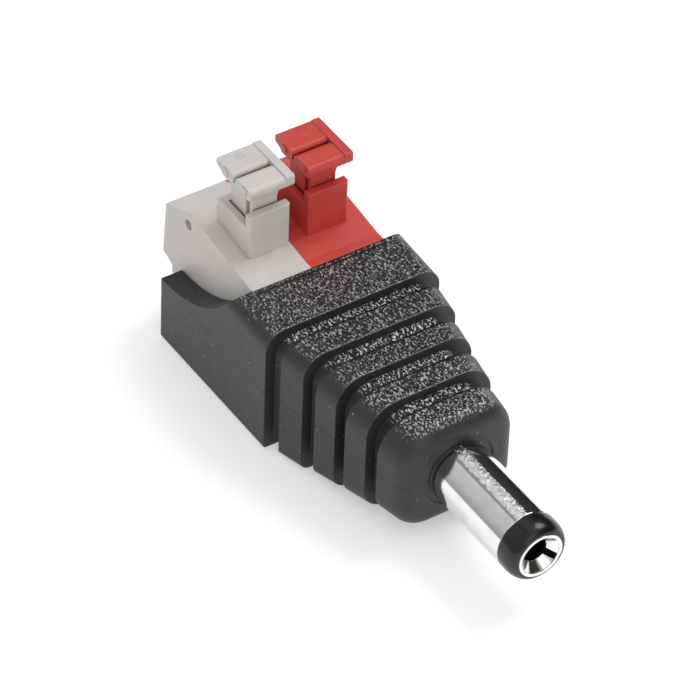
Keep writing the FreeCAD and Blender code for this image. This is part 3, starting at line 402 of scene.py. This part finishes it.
def plated_material(name, tone, roughness, pitted=False):
    """Plating with turning lines round the barrel's axis, light wear and, where asked, pits on top."""
    m = Material(name, metallic=1.0)
    m.use_colour(m.ramp(m.noise(0.9, detail=4.0, roughness=0.6), [(0.25, shade(tone, 0.9)), (0.6, tone)]))
    smudges = m.noise(2.6, detail=4.0, roughness=0.65)
    m.use_roughness(m.ramp(smudges, [(0.3, roughness - 0.05), (0.75, roughness + 0.06)]))
    turning_lines = m.noise(1.0, roughness=0.6, stretch=(14.0, 0.4, 0.4))
    bumps = [(turning_lines, 0.004, 0.4), (m.noise(1.2, detail=2.0), 0.010, 0.5)]
    if pitted:
        near_side = m.inverse(m.facing("Y", low=-0.02, high=0.10))
        top = m.product(m.facing("Z", low=0.93, high=0.98), near_side)
        pits = m.ramp(m.noise(3.6, roughness=0.65, stretch=(0.7, 1.0, 1.0)), [(0.40, 0.0), (0.62, 1.0)],
                      smooth=True)
        bumps.append((m.product(top, pits), 0.018, 1.0))
    m.use_bumps(bumps, edge=0.06)
    return m.material


def gloss_material(name, tone):
    """Glossy black plastic with faint wear."""
    m = Material(name, specular=0.35, coat=0.2, coat_roughness=0.08)
    m.use_colour(m.ramp(m.noise(1.5, roughness=0.6), [(0.3, tone), (0.7, shade(tone, 1.5))]))
    m.use_roughness(m.ramp(m.noise(3.0, detail=4.0, roughness=0.6), [(0.3, 0.2), (0.7, 0.34)]))
    m.use_bumps([(m.noise(9.0, roughness=0.6), 0.006, 0.5)], edge=0.06)
    return m.material


def plain_metal(name, tone, roughness, grain=8.0):
    """Dull metal with a fine grain."""
    m = Material(name, metallic=1.0)
    m.use_colour(m.ramp(m.noise(2.0, detail=4.0, roughness=0.6), [(0.3, shade(tone, 0.8)), (0.7, tone)]))
    m.use_roughness(m.ramp(m.noise(4.0, roughness=0.6), [(0.3, roughness - 0.08), (0.7, roughness + 0.12)]))
    m.use_bumps([(m.noise(grain, roughness=0.6), 0.008, 0.5)], edge=0.05)
    return m.material


# The materials. Each moulding has a light and a dark tone, and a tone for the highlight painted on its
# edges.

GREY = (colour(210, 206, 202), colour(203, 199, 195), colour(243, 241, 238))
RED = (colour(208, 72, 64), colour(199, 65, 57), colour(232, 120, 108))
CREAM = (colour(214, 208, 190), colour(204, 198, 180), colour(224, 219, 203))

black = housing_material()
grey = terminal_material("grey_terminal", *GREY)
red = terminal_material("red_terminal", *RED)
grey_button = terminal_material("grey_button", *GREY, mark=ringed_mark)
red_button = terminal_material("red_button", *RED, mark=rough_mark)
nickel = plated_material("nickel_barrel", (0.80, 0.80, 0.79, 1.0), roughness=0.09, pitted=True)
tin = plated_material("tin_contact", (0.88, 0.87, 0.84, 1.0), roughness=0.14)
nose_black = gloss_material("nose_ring_black", (0.006, 0.006, 0.007, 1.0))
brass = plain_metal("brass_lug", (0.75, 0.60, 0.33, 1.0), roughness=0.34)
spring_steel = plain_metal("spring_steel", (0.52, 0.52, 0.53, 1.0), roughness=0.3)
copper = plain_metal("bare_copper", (0.82, 0.50, 0.36, 1.0), roughness=0.32)
solder_grey = plain_metal("solder_grey", (0.70, 0.70, 0.71, 1.0), roughness=0.38, grain=5.0)
washer_cream = terminal_material("washer_cream", *CREAM)

NODE_MATERIALS = {
    "lower_shell": black, "upper_shell": black, "barrel_sleeve": nickel, "nose_insulator": nose_black,
    "centre_contact": tin, "rear_washer": washer_cream, "sleeve_lug": brass, "centre_lug": brass,
    "end_plate": red,
}
for sign, plastic, button in zip(TERMINALS, (grey, red), (grey_button, red_button)):
    NODE_MATERIALS.update({
        sign + "_terminal_body": plastic, sign + "_button": button, sign + "_contact": tin,
        sign + "_clamp_spring": spring_steel, sign + "_link": copper, sign + "_solder": solder_grey,
    })
for node, material in NODE_MATERIALS.items():
    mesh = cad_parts[node].data
    mesh.materials.clear()
    mesh.materials.append(material)


# Turned pieces of the barrel with their finely rounded edges. Profiles are (x, radius) in millimetres.

ROUND_STEPS = 128
SHARP_DEGREES = 30


def turned(name, profile, material):
    mesh = bpy.data.meshes.new(name)
    build = bmesh.new()
    angles = [2 * math.pi * k / ROUND_STEPS for k in range(ROUND_STEPS)]
    rings = []
    for x, radius in profile:
        rings.append([build.verts.new((x * MM, radius * math.cos(a) * MM, radius * math.sin(a) * MM))
                      for a in angles])
    for ring, after in zip(rings, rings[1:] + rings[:1]):
        for k in range(ROUND_STEPS):
            beside = (k + 1) % ROUND_STEPS
            build.faces.new((ring[k], ring[beside], after[beside], after[k]))
    bmesh.ops.recalc_face_normals(build, faces=build.faces)
    build.to_mesh(mesh)
    build.free()
    mesh.shade_smooth()
    mesh.set_sharp_from_angle(angle=math.radians(SHARP_DEGREES))
    mesh.materials.append(material)
    piece = new_object(name, mesh)
    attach(piece, "plug")
    return piece


def arc(x, radius, reach_x, reach_r, start, end, steps):
    """Points on an ellipse about (x, radius), its angle counted from the radius towards the tip."""
    points = []
    for k in range(steps + 1):
        angle = math.radians(start + (end - start) * k / steps)
        points.append((x + reach_x * math.sin(angle), radius + reach_r * math.cos(angle)))
    return points


def millimetres(node, corner, axis):
    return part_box(node)[corner][axis] / MM


SLEEVE_REAR = millimetres("barrel_sleeve", LOW, X)
RING_FRONT = millimetres("nose_insulator", HIGH, X)
FLANGE_RADIUS = millimetres("barrel_sleeve", HIGH, Z)
BARREL_RADIUS = 2.75
SLEEVE_BORE = 2.25
NECK_RADIUS = 2.45
FLANGE_FRONT, FLANGE_BACK = -1.2, -2.2
SHOULDER = -0.1
SLEEVE_FRONT = 9.3
SLEEVE_EDGE = 0.09
LINING_GAP = 0.02
LINING_BORE = 1.47
POCKET_RADIUS, POCKET_FLOOR = 2.04, 10.38
POCKET_CHAMFER = 0.03
RING_LIP = 2.10
RING_REAR = SLEEVE_FRONT + LINING_GAP
RING_REAR_ROUND = 0.14
RING_CROWN = 10.05

sleeve = turned("plated_sleeve", [
    (SLEEVE_FRONT, SLEEVE_BORE),
    *reversed(arc(SLEEVE_FRONT - SLEEVE_EDGE, BARREL_RADIUS - SLEEVE_EDGE,
                  SLEEVE_EDGE, SLEEVE_EDGE, start=0, end=90, steps=4)),
    (SHOULDER, BARREL_RADIUS), (SHOULDER, NECK_RADIUS), (FLANGE_FRONT, NECK_RADIUS),
    (FLANGE_FRONT, FLANGE_RADIUS), (FLANGE_BACK, FLANGE_RADIUS), (FLANGE_BACK, NECK_RADIUS),
    (SLEEVE_REAR, NECK_RADIUS), (SLEEVE_REAR, SLEEVE_BORE),
], nickel)
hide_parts("barrel_sleeve")

nose_ring = turned("nose_ring", [
    (POCKET_FLOOR, LINING_BORE), (POCKET_FLOOR, POCKET_RADIUS),
    (RING_FRONT - POCKET_CHAMFER, POCKET_RADIUS), (RING_FRONT, RING_LIP),
    *reversed(arc(RING_CROWN, RING_LIP, RING_FRONT - RING_CROWN, BARREL_RADIUS - RING_LIP,
                  start=0, end=84, steps=16)),
    *reversed(arc(RING_REAR + RING_REAR_ROUND, BARREL_RADIUS - RING_REAR_ROUND,
                  RING_REAR_ROUND, RING_REAR_ROUND, start=-90, end=0, steps=5)),
    (RING_REAR, SLEEVE_BORE - LINING_GAP), (SLEEVE_REAR, SLEEVE_BORE - LINING_GAP),
    (SLEEVE_REAR, LINING_BORE),
], nose_black)
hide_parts("nose_insulator")


# Each clamp spring is shown by a copy of its mesh that rides with the plug

for sign in TERMINALS:
    spring = sign + "_clamp_spring"
    leaf = new_object(sign + "_pressed_spring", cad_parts[spring].data.copy())
    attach(leaf, "plug")
    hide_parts(spring)
    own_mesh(leaf)


# The bright rim round the contact's mouth

MOUTH_FRONT = millimetres("centre_contact", HIGH, X)
RIM_RADIUS = 1.885
RIM_HALF_WIDTH = 0.145
RIM_ROUND = 0.05
RIM_DEPTH = 0.12

mouth_rim = turned("mouth_rim", [
    *arc(MOUTH_FRONT - RIM_ROUND, RIM_RADIUS, RIM_ROUND, RIM_HALF_WIDTH, start=0, end=180, steps=14),
    (MOUTH_FRONT - RIM_DEPTH, RIM_RADIUS - RIM_HALF_WIDTH),
    (MOUTH_FRONT - RIM_DEPTH, RIM_RADIUS + RIM_HALF_WIDTH),
], tin)


# The world is grey for the light that falls on the object and white where it is seen

WHITE = (1.0, 1.0, 1.0, 1.0)
SKY = 0.66

world = bpy.data.worlds.new("studio")
bpy.context.scene.world = world
sky = Nodes(world)
background = sky.add("ShaderNodeBackground")
background.inputs["Color"].default_value = WHITE
strength = sky.add("ShaderNodeMapRange")
strength.inputs["To Min"].default_value = SKY
strength.inputs["To Max"].default_value = 1.0
sky.join(sky.seen_directly(), strength.inputs["Value"])
sky.join(strength.outputs["Result"], background.inputs["Strength"])
sky.join(background.outputs["Background"], sky.add("ShaderNodeOutputWorld").inputs["Surface"])


# The pale floor glows a little where it is seen, so that it meets the world's white

FLOOR_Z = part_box("lower_shell")[LOW][Z]
FLOOR_GAP = 0.02 * MM
FLOOR_HALF_WIDTH = 3.0
FLOOR_TONE = (0.9, 0.9, 0.9, 1.0)
FLOOR_ROUGHNESS = 0.9
FLOOR_GLOW = 0.35


def stage_object(name, mesh, look):
    item = new_object(name, mesh)
    mesh.materials.append(look)
    return item


def pale_floor():
    mesh = bpy.data.meshes.new("floor")
    build = bmesh.new()
    bmesh.ops.create_grid(build, x_segments=8, y_segments=8, size=FLOOR_HALF_WIDTH)
    build.to_mesh(mesh)
    build.free()
    look = bpy.data.materials.new("pale_floor")
    nodes = Nodes(look)
    shader = nodes.add("ShaderNodeBsdfPrincipled")
    for socket, value in (("Base Color", FLOOR_TONE), ("Roughness", FLOOR_ROUGHNESS),
                          ("Specular IOR Level", 0.0), ("Emission Color", WHITE)):
        shader.inputs[socket].default_value = value
    nodes.join(nodes.product(nodes.seen_directly(), FLOOR_GLOW), shader.inputs["Emission Strength"])
    nodes.join(shader.outputs["BSDF"], nodes.add("ShaderNodeOutputMaterial").inputs["Surface"])
    stage_object("floor", mesh, look).location = (0, 0, FLOOR_Z - FLOOR_GAP)


pale_floor()


# A curved card along the plug, seen in reflections only. Its bands are (degrees, brightness), counted about
# the plug's axis from -Y over the top to +Y.

CARD_RADIUS = 0.8
CARD_ENDS = (-2.4, 2.4)
CARD_BANDS = (
    (-2, 0.36), (8, 0.42), (20, 0.52), (35, 0.60), (55, 0.63), (71, 0.68), (73, 0.30), (79, 0.30),
    (82, 0.88), (104, 0.88), (108, 0.45), (119, 0.42), (121, 0.05), (176, 0.02),
)


def studio_card():
    mesh = bpy.data.meshes.new("studio_card")
    build = bmesh.new()
    rows = []
    for degrees, _ in CARD_BANDS:
        angle = math.radians(degrees)
        rows.append([build.verts.new((x, -CARD_RADIUS * math.cos(angle), CARD_RADIUS * math.sin(angle)))
                     for x in CARD_ENDS])
    for before, after in zip(rows, rows[1:]):
        build.faces.new((before[0], before[1], after[1], after[0]))
    build.to_mesh(mesh)
    build.free()
    brightness = mesh.attributes.new("brightness", "FLOAT", "POINT")
    brightness.data.foreach_set("value", [value for _, value in CARD_BANDS for _ in CARD_ENDS])
    look = bpy.data.materials.new("studio_card")
    nodes = Nodes(look)
    painted = nodes.add("ShaderNodeAttribute", attribute_name="brightness")
    glow = nodes.add("ShaderNodeEmission")
    nodes.join(painted.outputs["Fac"], glow.inputs["Strength"])
    nodes.join(glow.outputs["Emission"], nodes.add("ShaderNodeOutputMaterial").inputs["Surface"])
    card = stage_object("studio_card", mesh, look)
    card.visible_camera = False
    card.visible_diffuse = False
    card.visible_transmission = False
    card.visible_shadow = False


studio_card()


# The camera stands far off, so that parallel edges stay nearly parallel as in the photograph

AZIMUTH, ELEVATION, ROLL = 55.3, 41.9, 2.4
FOCAL_PIXELS = 5000.0
PIXELS_PER_MM = 12.651
PICTURE_MIDDLE = 350.0
ORIGIN_PIXEL = (459.0, 470.0)
SENSOR_WIDTH = 36.0


def photo_camera():
    azimuth, elevation, roll = (math.radians(degrees) for degrees in (AZIMUTH, ELEVATION, ROLL))
    back = Vector((math.sin(azimuth) * math.cos(elevation), -math.cos(azimuth) * math.cos(elevation),
                   math.sin(elevation)))
    level_right = Vector((math.cos(azimuth), math.sin(azimuth), 0))
    level_up = back.cross(level_right)
    right = math.cos(roll) * level_right + math.sin(roll) * level_up
    up = math.cos(roll) * level_up - math.sin(roll) * level_right
    distance = FOCAL_PIXELS / PIXELS_PER_MM * MM
    aside, above = ((pixel - PICTURE_MIDDLE) / FOCAL_PIXELS * distance for pixel in ORIGIN_PIXEL)
    eye = back * distance - right * aside + up * above
    lens = bpy.data.cameras.new("camera")
    lens.sensor_width = SENSOR_WIDTH
    lens.lens = FOCAL_PIXELS / (2 * PICTURE_MIDDLE) * SENSOR_WIDTH
    lens.clip_start = 0.01
    lens.clip_end = 10.0
    camera = new_object("camera", lens)
    camera.matrix_world = Matrix(((*right, 0), (*up, 0), (*back, 0), (*eye, 1))).transposed()
    bpy.context.scene.camera = camera


photo_camera()


# Two lamps aimed at the middle of the plug

PLUG_MIDDLE = Vector((-0.012, 0.0, 0.0))


def area_light(name, energy, size, place):
    lamp = bpy.data.lights.new(name, "AREA")
    lamp.energy = energy
    lamp.shape = "DISK"
    lamp.size = size
    item = new_object(name, lamp)
    item.location = place
    item.rotation_euler = (PLUG_MIDDLE - Vector(place)).to_track_quat("-Z", "Y").to_euler()


area_light("key_light", energy=1.08, size=0.28, place=(-0.04, 0.30, 0.48))
area_light("fill_light", energy=0.30, size=0.40, place=(0.42, -0.12, 0.35))

bpy.context.scene.view_settings.view_transform = "Standard"
